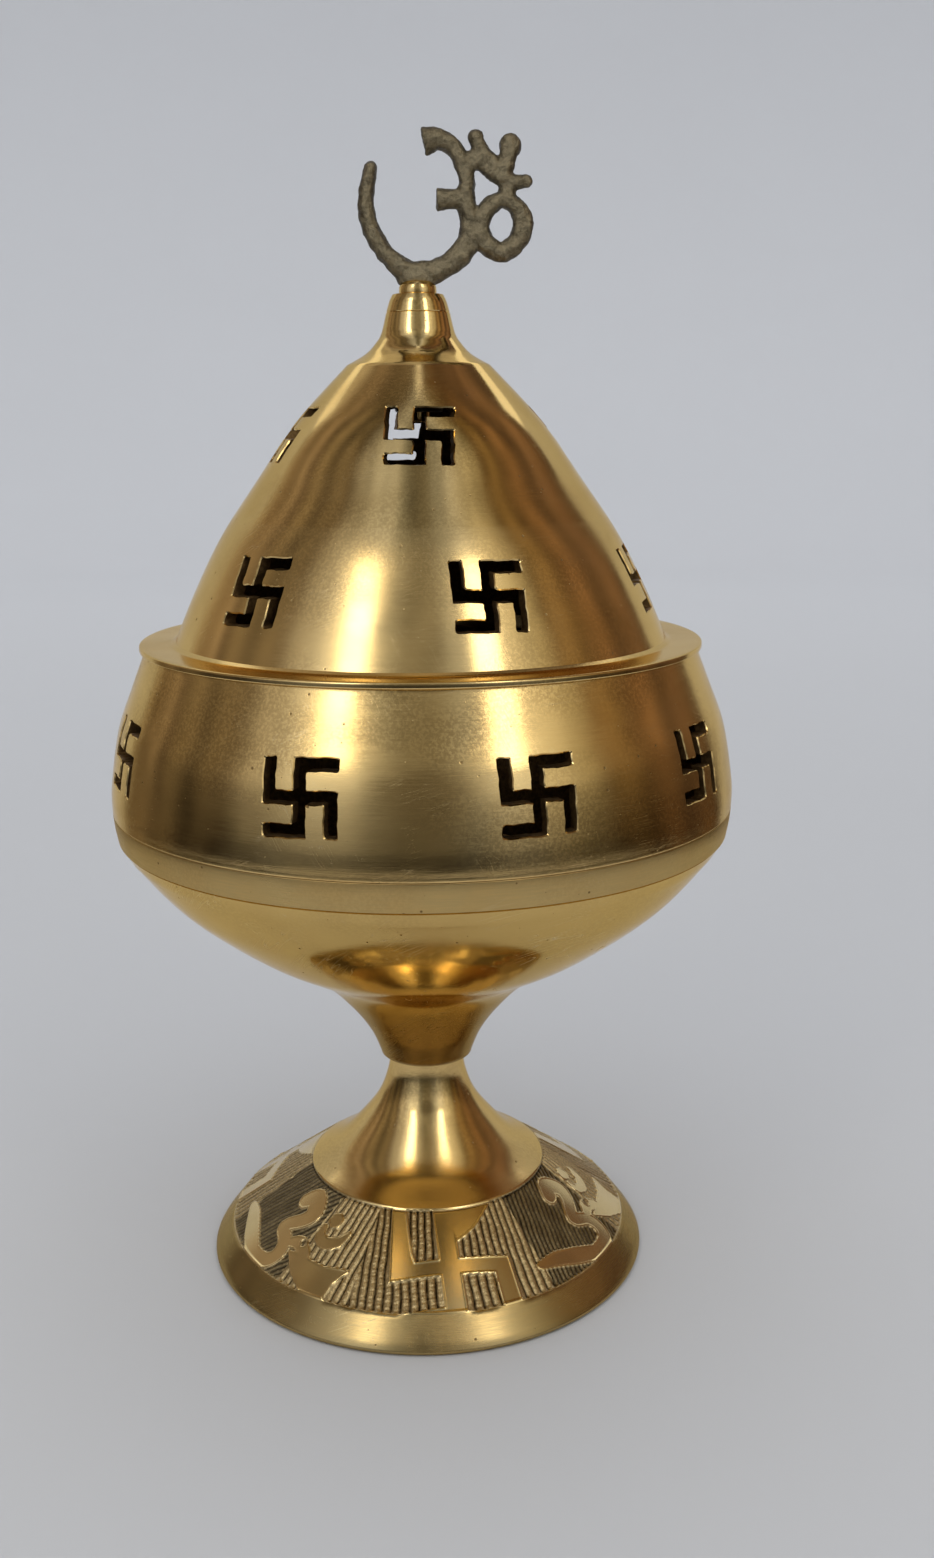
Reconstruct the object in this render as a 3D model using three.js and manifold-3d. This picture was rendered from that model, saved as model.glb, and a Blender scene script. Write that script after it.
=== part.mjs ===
// Footed brass incense burner with a pierced gallery, a pierced lid and an Om finial.
// Millimetres, +Z up, origin at the centre of the foot's resting plane. The front faces -Y.
import * as THREE from 'three';
import { mergeVertices } from 'three/addons/utils/BufferGeometryUtils.js';
import Module from 'manifold-3d';

const wasm = await Module();
wasm.setup();

// Driving dimensions
const GAP = 0.3;              // running gap left between pieces that touch
const TURNED_SIDES = 40;      // sides of a turned piece
const SMALL_SIDES = 20;       // sides of a bolt, a washer or a boss
const FOOT_RADIUS = 35;
const COLLAR_Z = 33.2;        // underside of the bowl's collar
const FOOT_CEILING_Z = 18.6;  // flat seat inside the foot, under the neck
const BOWL_FLOOR_Z = 48;
const WIDEST_RADIUS = 47;
const GALLERY_JOINT_Z = 75.2; // the turned line at the widest point
const GALLERY_TOP_Z = 98.5;
const BRIM_Z = GALLERY_TOP_Z + GAP;
const BRIM_RADIUS = 41.9;
const BRIM_THICKNESS = 0.9;
const LID_CEILING_Z = 137.4;  // flat seat inside the lid, under the neck
const NECK_RIM_Z = 148.6;
const TIE_BOLT_RADIUS = 2.3;
const FINIAL_STUD_RADIUS = 1.7;
const SLOT_WIDTH = 1.6;       // width of a pierced stroke
const FINIAL_THICKNESS = 3;

const brass = new THREE.MeshStandardMaterial({ color: 0xb5975a, roughness: 0.22, metalness: 1 });
const satinBrass = new THREE.MeshStandardMaterial({ color: 0xa98d58, roughness: 0.4, metalness: 1 });
const agedBrass = new THREE.MeshStandardMaterial({ color: 0x6e6043, roughness: 0.55, metalness: 1 });
const steel = new THREE.MeshStandardMaterial({ color: 0x8d8d8a, roughness: 0.4, metalness: 1 });

// Closed, merged geometry whose faces point outwards
function closed(geometry) {
  const bare = geometry.index ? geometry.toNonIndexed() : geometry.clone();
  bare.deleteAttribute('normal');
  bare.deleteAttribute('uv');
  const merged = mergeVertices(bare, 1e-4);
  const corner = merged.attributes.position;
  const index = merged.index.array;
  const [a, b, c] = [new THREE.Vector3(), new THREE.Vector3(), new THREE.Vector3()];
  let volume = 0;
  for (let i = 0; i < index.length; i += 3) {
    a.fromBufferAttribute(corner, index[i]);
    b.fromBufferAttribute(corner, index[i + 1]);
    c.fromBufferAttribute(corner, index[i + 2]);
    volume += a.dot(b.cross(c));
  }
  if (volume < 0) {
    for (let i = 0; i < index.length; i += 3) {
      [index[i + 1], index[i + 2]] = [index[i + 2], index[i + 1]];
    }
  }
  const kept = [];
  for (let i = 0; i < index.length; i += 3) {
    const [p, q, r] = [index[i], index[i + 1], index[i + 2]];
    if (p !== q && q !== r && r !== p) kept.push(p, q, r);
  }
  merged.setIndex(kept);
  return merged;
}

function toSolid(geometry) {
  const merged = closed(geometry);
  return new wasm.Manifold(new wasm.Mesh({
    numProp: 3,
    vertProperties: new Float32Array(merged.attributes.position.array),
    triVerts: new Uint32Array(merged.index.array),
  }));
}

function toGeometry(solid) {
  const mesh = solid.getMesh();
  const geometry = new THREE.BufferGeometry();
  geometry.setAttribute('position', new THREE.BufferAttribute(mesh.vertProperties, 3));
  geometry.setIndex(new THREE.BufferAttribute(mesh.triVerts, 1));
  return geometry;
}

// Turned piece from a closed outline of [radius, height] points
function turned(outline, sides = TURNED_SIDES) {
  const points = outline.map(([r, z]) => new THREE.Vector2(r, z));
  const onAxis = outline[0][0] === 0 && outline.at(-1)[0] === 0;
  if (!onAxis) points.push(points[0].clone());
  return closed(new THREE.LatheGeometry(points, sides).rotateX(Math.PI / 2));
}

// Smooth run through a few [radius, height] stations
function flowing(stations, steps) {
  const curve = new THREE.SplineCurve(stations.map(([x, y]) => new THREE.Vector2(x, y)));
  return curve.getPoints(steps).map((p) => [p.x, p.y]);
}

function named(name, geometry, material) {
  const mesh = new THREE.Mesh(geometry, material);
  mesh.name = name;
  return mesh;
}

// Svastika outline, arms bent clockwise, from four turns of one arm
function svastikaShape(halfSize, width) {
  const w = width / 2;
  const arm = [[-w, w], [-w, halfSize], [halfSize, halfSize], [halfSize, halfSize - width],
    [w, halfSize - width]];
  const points = [];
  for (let turn = 0; turn < 4; turn++) {
    for (const [x, y] of arm) {
      const angle = -turn * Math.PI / 2;
      points.push(new THREE.Vector2(x, y).rotateAround(new THREE.Vector2(), angle));
    }
  }
  return new THREE.Shape(points);
}

// Cuts one svastika through a turned wall at each azimuth; lean is the wall's lean inwards
function pierce(wall, azimuths, radius, z, lean, halfSize) {
  const depth = 10;
  for (const azimuth of azimuths) {
    const cutter = new THREE.ExtrudeGeometry(svastikaShape(halfSize, SLOT_WIDTH),
      { depth, bevelEnabled: false });
    const a = THREE.MathUtils.degToRad(azimuth);
    const tilt = THREE.MathUtils.degToRad(lean);
    cutter.translate(0, 0, -depth / 2);
    cutter.rotateX(Math.PI / 2 - tilt);
    cutter.translate(0, -radius, z);
    cutter.rotateZ(a);
    wall = wall.subtract(toSolid(cutter));
  }
  return wall;
}

// Hollow foot: resting ring, plain rim, conical band, trumpet and solid neck
function foot() {
  const trumpet = flowing([[18.8, 14.5], [14.4, 17.3], [10.7, 21.2], [7.8, 25.2], [6.1, 30]], 8);
  return turned([[32.4, 0], [34.4, 0], [FOOT_RADIUS, 0.6], [34.5, 1.5], [31.9, 4.9],
    ...trumpet, [6.1, COLLAR_Z - GAP], [TIE_BOLT_RADIUS + GAP, COLLAR_Z - GAP],
    [TIE_BOLT_RADIUS + GAP, FOOT_CEILING_Z], [9.4, FOOT_CEILING_Z], [17, 13.4], [29.6, 4.4]]);
}

// Round-headed bolt that ties the bowl to the foot
function tieBolt() {
  const head = BOWL_FLOOR_Z + GAP;
  return turned([[0, 11.5], [1.8, 11.5], [TIE_BOLT_RADIUS, 12], [TIE_BOLT_RADIUS, head], [4.5, head],
    [4.2, head + 1.4], [2.6, head + 2.4], [0, head + 2.7]], SMALL_SIDES);
}

function washer(bore, radius, bottom, thickness) {
  const top = bottom + thickness;
  return turned([[bore, bottom], [radius, bottom], [radius, top], [bore, top]], SMALL_SIDES);
}

// Hexagon nut with a plain bore
function nut(bore, acrossFlats, bottom, height) {
  const hexagon = new THREE.CylinderGeometry(acrossFlats / Math.sqrt(3), acrossFlats / Math.sqrt(3),
    height, 6).rotateX(Math.PI / 2).translate(0, 0, bottom + height / 2);
  const hole = new THREE.CylinderGeometry(bore, bore, 2 * height, SMALL_SIDES)
    .rotateX(Math.PI / 2).translate(0, 0, bottom + height / 2);
  return toGeometry(toSolid(hexagon).subtract(toSolid(hole)));
}

// Cast bowl: collar, flared stem, round belly, turned band and a spigot for the gallery
function bowl() {
  const outside = flowing([[7.7, COLLAR_Z + 0.7], [9.2, 37.2], [12.6, 42], [18, 47.2], [28.2, 53.2],
    [38.4, 61.2], [45, 69], [46.3, 71.6], [WIDEST_RADIUS, GALLERY_JOINT_Z]], 11);
  const inside = flowing([[43.9, GALLERY_JOINT_Z], [42.6, 69.8], [36.6, 62.2], [26.8, 54.9],
    [15.5, BOWL_FLOOR_Z]], 6);
  return turned([[TIE_BOLT_RADIUS + GAP, COLLAR_Z], [7.8, COLLAR_Z], ...outside,
    [45.3, GALLERY_JOINT_Z], [45.3, GALLERY_JOINT_Z + 2.2], [43.9, GALLERY_JOINT_Z + 2.2],
    ...inside, [TIE_BOLT_RADIUS + GAP, BOWL_FLOOR_Z]]);
}

// Pierced wall above the bowl, seated over the bowl's spigot
function gallery() {
  const wallThickness = 1.8;
  const seat = GALLERY_JOINT_Z + GAP;
  const outside = flowing([[WIDEST_RADIUS, seat], [46.9, 79.2], [45.5, 87.2], [43.2, 93.4],
    [41.2, GALLERY_TOP_Z]], 5);
  const inside = outside.slice(1).reverse().map(([r, z]) => [r - wallThickness, z]);
  const ring = turned([...outside, ...inside, [45.1, seat + 2.2], [45.6, seat + 2.2], [45.6, seat]]);
  const azimuths = [-67.5, -20, 18.5, 56, 95, 135, 175, 214, 253];
  return toGeometry(pierce(toSolid(ring), azimuths, 44.8, 85.5, 14, 5.1));
}

// Spun charcoal cup with a ring foot and a rolled rim
function charcoalCup() {
  const base = BOWL_FLOOR_Z + GAP;
  return turned([[0, 52.6], [12.3, 52.6], [12.3, base], [13.5, base], [13.5, 52.3], [16.2, 53.4],
    [18.8, 57.6], [19.4, 62.6], [20.3, 63.4], [20.3, 64.1], [19.5, 64.4], [18.5, 63.6],
    [17.7, 58], [15.3, 54.6], [14.4, 54], [0, 54]]);
}

// Pierced lid: locating lip, flat brim, tall dome and concave neck
function lid() {
  const brimTop = BRIM_Z + BRIM_THICKNESS;
  const dome = flowing([[36.7, brimTop], [33.4, 107.2], [29.2, 115.2], [23.7, 123.2],
    [18, 131.2], [10.4, 139.2]], 7);
  const neck = flowing([[10.4, 139.2], [7.4, 141.3], [5.5, 144.2], [4.8, 146.4],
    [3.6, NECK_RIM_Z]], 5).slice(1);
  const domeInside = flowing([[9.4, LID_CEILING_Z], [16, 131], [21.8, 122.9], [27.4, 114.8],
    [31.6, 106.8], [35, BRIM_Z]], 5);
  const bore = FINIAL_STUD_RADIUS + GAP;
  const shell = turned([[bore, LID_CEILING_Z], ...domeInside, [37.7, BRIM_Z], [37.7, 96],
    [39, 96], [39, BRIM_Z], [41.5, BRIM_Z], [BRIM_RADIUS, BRIM_Z + 0.3],
    [BRIM_RADIUS, brimTop - 0.3], [41.5, brimTop], ...dome, ...neck, [bore, NECK_RIM_Z]]);
  const lowerRow = [-43.5, 16, 76, 136, 196, 256];
  const upperRow = [0, 95, 194, 283];
  const lower = pierce(toSolid(shell), lowerRow, 32.2, 109.2, 26, 5);
  return toGeometry(pierce(lower, upperRow, 19.4, 129.6, 35, 4.8));
}

// Flat stroke of the finial along a curve, its width changing from one end to the other
function stroke(stations, startWidth, endWidth, steps = 12) {
  const curve = new THREE.SplineCurve(stations.map(([x, z]) => new THREE.Vector2(x, z)));
  const near = [];
  const far = [];
  for (let i = 0; i <= steps; i++) {
    const t = i / steps;
    const half = THREE.MathUtils.lerp(startWidth, endWidth, t) / 2;
    const p = curve.getPoint(t);
    const along = curve.getTangent(t);
    near.push(new THREE.Vector2(p.x - along.y * half, p.y + along.x * half));
    far.unshift(new THREE.Vector2(p.x + along.y * half, p.y - along.x * half));
  }
  return new THREE.Shape([...near, ...far]);
}

function plate(shape) {
  const geometry = new THREE.ExtrudeGeometry(shape,
    { depth: FINIAL_THICKNESS, bevelEnabled: false, curveSegments: 12 });
  return toSolid(geometry.rotateX(Math.PI / 2).translate(0, FINIAL_THICKNESS / 2, 0));
}

function disc(x, z, radius) {
  return plate(new THREE.Shape().absarc(x, z, radius, 0, 2 * Math.PI));
}

// Cast Om with its crescent and dot, on a round boss with a threaded stud below
function omFinial() {
  const hook = stroke([[-6.4, 166.6], [-7, 160.4], [-5.2, 155], [-0.7, 152.3], [4.2, 153.3],
    [7.2, 157], [7.2, 161.2]], 2, 2.7, 18);
  const crown = stroke([[0.8, 169.7], [3.4, 169.8], [6, 167.8], [7.1, 164.2], [6.5, 161.6]], 3.6, 2.6);
  const prong = stroke([[2.7, 161.9], [7, 161.9]], 2.8, 3, 2);
  const crescent = stroke([[8.5, 170.1], [10.2, 167.8], [12.2, 165.4], [13.9, 163.6],
    [15.8, 164]], 2.2, 1.8);
  const dotStem = stroke([[13.2, 169], [12.8, 165.4]], 2.2, 2.4, 2);
  const loop = new THREE.Shape().absellipse(12.2, 158.3, 4.5, 5, 0, 2 * Math.PI);
  loop.holes.push(new THREE.Path().absellipse(12.2, 158.3, 1.9, 2.4, 0, 2 * Math.PI, true));
  const bossBottom = NECK_RIM_Z + GAP;
  const boss = toSolid(turned([[0, 131], [FINIAL_STUD_RADIUS, 131], [FINIAL_STUD_RADIUS, bossBottom],
    [2.6, bossBottom], [2.6, 150.4], [3.2, 151.4], [2, 152.6], [0, 152.6]], SMALL_SIDES));
  const pieces = [plate(hook), plate(crown), plate(prong), plate(crescent), plate(dotStem), plate(loop),
    disc(8.5, 170, 1.3), disc(13.3, 168.8, 1.55), disc(15.9, 164.1, 1)];
  return toGeometry(pieces.reduce((whole, piece) => whole.add(piece), boss));
}

const base = new THREE.Group();
const bolt = TIE_BOLT_RADIUS + GAP;
base.add(
  named('foot', foot(), satinBrass),
  named('bowl', bowl(), brass),
  named('gallery', gallery(), brass),
  named('tie_bolt', tieBolt(), steel),
  named('foot_washer', washer(bolt, 6.5, FOOT_CEILING_Z - GAP - 1.2, 1.2), steel),
  named('foot_nut', nut(bolt, 8, FOOT_CEILING_Z - 2 * GAP - 5.2, 4), steel),
);

const lidGroup = new THREE.Group();
const stud = FINIAL_STUD_RADIUS + GAP;
lidGroup.add(
  named('lid', lid(), brass),
  named('om_finial', omFinial(), agedBrass),
  named('finial_washer', washer(stud, 5, LID_CEILING_Z - GAP - 1, 1), steel),
  named('finial_nut', nut(stud, 7, LID_CEILING_Z - 2 * GAP - 4.2, 3.2), steel),
);

const burner = new THREE.Group();
burner.add(base, lidGroup, named('charcoal_cup', charcoalCup(), satinBrass));

export default burner;
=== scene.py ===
"""Looks of a footed brass incense burner: turned and pierced shells, a chiselled foot and a cast Om.

Shapes are worked out in millimetres in the model's own frame and turned into metres when a mesh is made.
"""
from math import atan2, ceil, cos, degrees, pi, radians, sin

import bmesh
import bpy
import numpy as np
from mathutils import Matrix, Vector, noise


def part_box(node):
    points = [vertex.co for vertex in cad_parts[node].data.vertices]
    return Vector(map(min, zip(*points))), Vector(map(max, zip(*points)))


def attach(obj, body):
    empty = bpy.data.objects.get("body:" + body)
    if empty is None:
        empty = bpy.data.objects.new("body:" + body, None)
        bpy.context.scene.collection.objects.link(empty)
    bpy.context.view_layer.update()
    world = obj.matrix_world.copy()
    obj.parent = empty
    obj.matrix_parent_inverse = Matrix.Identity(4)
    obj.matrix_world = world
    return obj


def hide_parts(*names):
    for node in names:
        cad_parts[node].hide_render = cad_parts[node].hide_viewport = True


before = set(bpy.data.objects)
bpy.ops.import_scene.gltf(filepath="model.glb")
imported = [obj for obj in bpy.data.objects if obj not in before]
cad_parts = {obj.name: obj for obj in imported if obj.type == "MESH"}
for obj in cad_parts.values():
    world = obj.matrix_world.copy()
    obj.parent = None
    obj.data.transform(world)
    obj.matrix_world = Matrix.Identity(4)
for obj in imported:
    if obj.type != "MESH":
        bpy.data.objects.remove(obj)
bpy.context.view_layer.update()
scene = bpy.context.scene

MM = 0.001
SEAM = 0.07                # hairline left between pieces that touch, mm
SHUT = 0.02                # seam turned shut after assembly, mm
SIDES = 288                # sides of a turned surface
SLOT_WIDTH = 1.62          # width of a piercing saw's cut, mm

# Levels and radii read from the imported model, mm
FOOT_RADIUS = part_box("foot")[1].x / MM
COLLAR_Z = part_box("bowl")[0].z / MM
GALLERY_SEAT_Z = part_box("gallery")[0].z / MM
GALLERY_TOP_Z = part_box("gallery")[1].z / MM
WIDEST_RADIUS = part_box("bowl")[1].x / MM
BRIM_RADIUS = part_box("lid")[1].x / MM
LIP_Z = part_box("lid")[0].z / MM
NECK_RIM_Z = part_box("lid")[1].z / MM
NECK_TOP_Z = NECK_RIM_Z + 0.5
COLLAR_LOW_Z = COLLAR_Z - 0.45
BOLT_TOP_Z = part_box("tie_bolt")[1].z / MM
BOLT_END_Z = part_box("tie_bolt")[0].z / MM
STUD_END_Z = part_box("om_finial")[0].z / MM

JOINT_Z = 75.2             # top of the bowl's shoulder
BRIM_Z = 98.8
BRIM_TOP_Z = 99.7
BOWL_FLOOR_Z = 48.0
FOOT_CEILING_Z = 18.6
LID_CEILING_Z = 137.4
BOLT_BORE = 2.6
STUD_BORE = 2.0
OM_THICKNESS = 3.0

# Chiselled band of the foot: a cone between the plain rim and the trumpet
BAND_LOW = np.array([31.9, 4.9])
BAND_HIGH = np.array([18.8, 14.5])
BAND_LENGTH = float(np.linalg.norm(BAND_HIGH - BAND_LOW))
BAND_SIN = (BAND_LOW[0] - BAND_HIGH[0]) / BAND_LENGTH
APEX_TO_LOW = BAND_LOW[0] / BAND_SIN
APEX_TO_MIDDLE = APEX_TO_LOW - BAND_LENGTH / 2
MOTIFS = 6
FIRST_MOTIF_AZIMUTH = 7.2
FAR = 1e9                  # further than anything, mm


# ---- outlines

def flowing(stations, steps):
    """Smooth run through a few [radius, height] stations."""
    points = [np.array(p, float) for p in stations]
    spans = len(points) - 1
    run = []
    for i in range(steps + 1):
        at = i / steps * spans
        k = min(int(at), spans - 1)
        t = at - k
        p0, p1, p2 = points[max(k - 1, 0)], points[k], points[k + 1]
        p3 = points[min(k + 2, spans)]
        v0, v1 = (p2 - p0) / 2, (p3 - p1) / 2
        run.append((2 * p1 - 2 * p2 + v0 + v1) * t ** 3
                   + (3 * p2 - 3 * p1 - 2 * v0 - v1) * t ** 2 + v0 * t + p1)
    return [tuple(p) for p in run]


def rounded(outline, closed=True, steps=5):
    """Outline whose points may carry a third value, the reach of a soft corner."""
    made = []
    count = len(outline)
    for i, point in enumerate(outline):
        here = np.array(point[:2], float)
        inner = closed or 0 < i < count - 1
        if len(point) < 3 or not inner:
            made.append(tuple(here))
            continue
        before = np.array(outline[i - 1][:2], float) - here
        after = np.array(outline[(i + 1) % count][:2], float) - here
        a = here + before / np.linalg.norm(before) * point[2]
        b = here + after / np.linalg.norm(after) * point[2]
        for k in range(steps + 1):
            t = k / steps
            made.append(tuple((1 - t) ** 2 * a + 2 * t * (1 - t) * here + t * t * b))
    return made


def refined(outline, step, closed=True):
    """The same outline with no stretch longer than step."""
    made = []
    pairs = list(zip(outline, outline[1:] + (outline[:1] if closed else [])))
    for a, b in pairs:
        a, b = np.array(a), np.array(b)
        parts = max(1, ceil(np.linalg.norm(b - a) / step))
        made += [tuple(a + (b - a) * k / parts) for k in range(parts)]
    return made if closed else made + [tuple(outline[-1])]


# ---- meshes

def add_object(name, data):
    made = bpy.data.objects.new(name, data)
    scene.collection.objects.link(made)
    return made


def make_object(name, vertices, faces, smooth_angle=30):
    """Shaded object from vertices in millimetres, its faces turned outwards."""
    mesh = bpy.data.meshes.new(name)
    mesh.from_pydata((np.asarray(vertices) * MM).tolist(), [], faces)
    mesh.validate()
    piece = add_object(name, mesh)
    edit_mesh(mesh, face_outwards)
    shade(mesh, smooth_angle)
    return piece


def edit_mesh(mesh, change):
    """Makes one change on an editable copy of the mesh and writes it back."""
    work = bmesh.new()
    work.from_mesh(mesh)
    change(work)
    work.to_mesh(mesh)
    work.free()


def face_outwards(work):
    if work.calc_volume(signed=True) < 0:
        bmesh.ops.reverse_faces(work, faces=work.faces)


def triangulate(work, corners=3):
    """Triangulates the faces that have at least so many corners."""
    bmesh.ops.triangulate(work, faces=[f for f in work.faces if len(f.verts) >= corners])
    bmesh.ops.recalc_face_normals(work, faces=work.faces)


def shade(mesh, angle):
    mesh.shade_smooth()
    mesh.set_sharp_from_angle(angle=radians(angle))


def settle(piece):
    """Applies the piece's modifiers."""
    bpy.context.view_layer.update()
    graph = bpy.context.evaluated_depsgraph_get()
    mesh = bpy.data.meshes.new_from_object(piece.evaluated_get(graph))
    old = piece.data
    piece.modifiers.clear()
    piece.data = mesh
    mesh.name = piece.name
    bpy.data.meshes.remove(old)


def joined(parts):
    """Vertices and faces of several parts as one."""
    faces, total = [], 0
    for vertices, part_faces in parts:
        faces += [tuple(i + total for i in face) for face in part_faces]
        total += len(vertices)
    return np.concatenate([vertices for vertices, _ in parts]), faces


def face_places(piece):
    """Radius and height of the middle of every face, mm."""
    centres = np.zeros(len(piece.data.polygons) * 3)
    piece.data.polygons.foreach_get("center", centres)
    x, y, z = centres.reshape(-1, 3).T / MM
    return np.hypot(x, y), z


def dress(piece, materials, index=None):
    """Gives a piece its materials, and every face the index of the one it wears."""
    piece.data.materials.clear()
    for material in materials:
        piece.data.materials.append(material)
    if index is not None:
        piece.data.polygons.foreach_set("material_index", index.astype(np.int32))
    return piece


def ring_points(radius, height, sides):
    a = 2 * pi * (np.arange(sides) / sides)
    return np.stack([radius * np.sin(a), -radius * np.cos(a), np.broadcast_to(height, sides)], 1)


def loft(rows):
    """Vertices and faces of stacked rings; a row is (sides, radius, height), radius 0 being the axis.
    The last row joins the first unless both lie on the axis."""
    blocks = []
    for sides, radius, height in rows:
        on_axis = np.ndim(radius) == 0 and radius == 0
        blocks.append(np.array([[0, 0, height]]) if on_axis else ring_points(radius, height, sides))
    counts = [len(block) for block in blocks]
    starts = np.cumsum([0] + counts).tolist()
    faces = []
    for k in range(len(rows) if counts[0] > 1 else len(rows) - 1):
        m = (k + 1) % len(rows)
        faces += stitch(starts[k], counts[k], starts[m], counts[m])
    return np.concatenate(blocks), faces


def stitch(a, count_a, b, count_b):
    """Faces between two rings, one of which may be a point or have a whole multiple of the sides."""
    if count_a == 1:
        return [(a, b + (i + 1) % count_b, b + i) for i in range(count_b)]
    if count_b == 1:
        return [(a + i, a + (i + 1) % count_a, b) for i in range(count_a)]
    if count_a <= count_b:
        k = count_b // count_a
        return [(a + i, a + (i + 1) % count_a,
                 *[b + ((i + 1) * k - j) % count_b for j in range(k + 1)]) for i in range(count_a)]
    k = count_a // count_b
    return [(*[a + (i * k + j) % count_a for j in range(k + 1)],
             b + (i + 1) % count_b, b + i) for i in range(count_b)]


def turned(name, outline, sides=SIDES, step=1.2, smooth_angle=30):
    """Turned solid; an outline that starts and ends on the axis stays open there."""
    on_axis = outline[0][0] == 0 and outline[-1][0] == 0
    fine = refined(rounded(outline, not on_axis), step, not on_axis)
    vertices, faces = loft([(sides, r, z) for r, z in fine])
    return make_object(name, vertices, faces, smooth_angle)


# ---- piercings

def svastika(half, width, softness, parts=7, steps=4):
    """Outline of a svastika with arms bent clockwise and slightly soft corners."""
    w = width / 2
    arm = [(-w, w, softness * 0.5), (-w, half, softness * 0.6), (half, half, softness),
           (half, half - width, softness), (w, half - width, softness * 0.5)]
    corners = []
    for c, s in ((1, 0), (0, 1), (-1, 0), (0, -1)):
        corners += [(x * c + y * s, y * c - x * s, soft) for x, y, soft in arm]
    arcs = np.array(rounded(corners, True, steps)).reshape(len(corners), steps + 1, 2)
    outline = []
    for arc, following in zip(arcs, np.roll(arcs, -1, 0)):
        outline += list(arc)
        outline += [arc[-1] + (following[0] - arc[-1]) * k / parts for k in range(1, parts)]
    return np.array(outline)


def run_along(wall):
    """Length of a profile up to each of its points."""
    steps = np.linalg.norm(np.diff(wall, axis=0), axis=1)
    return np.concatenate([[0], np.cumsum(steps)])


def wall_point(wall, along, azimuth, lift):
    """Place on a turned wall: along its profile, round it, and lifted off it."""
    run = run_along(wall)
    r = np.interp(along, run, wall[:, 0])
    z = np.interp(along, run, wall[:, 1])
    slope = np.gradient(wall, run, axis=0)
    tr, tz = np.interp(along, run, slope[:, 0]), np.interp(along, run, slope[:, 1])
    size = np.hypot(tr, tz)
    r, z = r + lift * tz / size, z - lift * tr / size
    return np.stack([r * np.sin(azimuth), -r * np.cos(azimuth), z], 1)


def piercing_cutter(wall, azimuth, height, half, seed):
    """Closed cutter for one svastika sawn level, with a fine chamfer where it meets the wall."""
    rng = np.random.default_rng(seed)
    width = SLOT_WIDTH * rng.uniform(0.95, 1.06)
    waves = rng.uniform(0, 6.3, 4)
    turn = radians(rng.uniform(-2.2, 2.2))
    run = run_along(wall)
    centre = np.interp(height, wall[:, 1], run)
    depth, above, chamfer, reach = 0.16, 0.12, 0.24, 4.5
    layers = [(-depth, reach, 0.0), (-depth, 0.0, 0.0), (above, 0.0, chamfer)]
    vertices, faces = [], []
    for lift, inwards, spread in layers:
        flat = svastika(half + spread, width + 2 * spread, 0.42)
        p, q = flat.T
        x = p + 0.05 * np.sin(q * 2.1 + waves[0]) + 0.03 * np.sin(q * 4.3 + waves[1])
        y = q + 0.05 * np.sin(p * 1.9 + waves[2]) + 0.03 * np.sin(p * 4.7 + waves[3])
        u = x * cos(turn) - y * sin(turn)
        v = x * sin(turn) + y * cos(turn)
        along = centre + v
        radius = np.interp(along, run, wall[:, 0])
        layer = wall_point(wall, along, radians(azimuth) + u / radius, lift)
        layer[:, :2] *= 1 - inwards / np.hypot(layer[:, 0], layer[:, 1])[:, None]
        vertices.append(layer)
    count, last = len(flat), len(layers) - 1
    for k in range(last):
        faces += stitch(k * count, count, (k + 1) * count, count)
    faces += [tuple(range(count)), tuple(range(last * count, (last + 1) * count))]
    return np.concatenate(vertices), faces


def pierce(piece, wall, holes):
    """Cuts every hole (azimuth, height, half size) through a turned wall."""
    parts = [piercing_cutter(np.array(wall), *hole, seed + len(piece.name))
             for seed, hole in enumerate(holes)]
    cutter = make_object("cutter", *joined(parts))
    edit_mesh(cutter.data, lambda work: triangulate(work, 5))
    cut = piece.modifiers.new("pierce", "BOOLEAN")
    cut.operation = "DIFFERENCE"
    cut.solver = "EXACT"
    cut.object = cutter
    settle(piece)
    bpy.data.objects.remove(cutter)
    shade(piece.data, 30)


def is_inside(piece, wall):
    """True for every face that lies more than a skin below the turned outer surface."""
    skin, slack = 0.22, 0.01
    wall = np.array(wall)
    radius, height = face_places(piece)
    order = np.argsort(wall[:, 1])
    outer = np.interp(height, wall[order, 1], wall[order, 0])
    past_ends = (height > wall[:, 1].max() + slack) | (height < wall[:, 1].min() - slack)
    return (outer - radius > skin) & ~past_ends


# ---- materials

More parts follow.
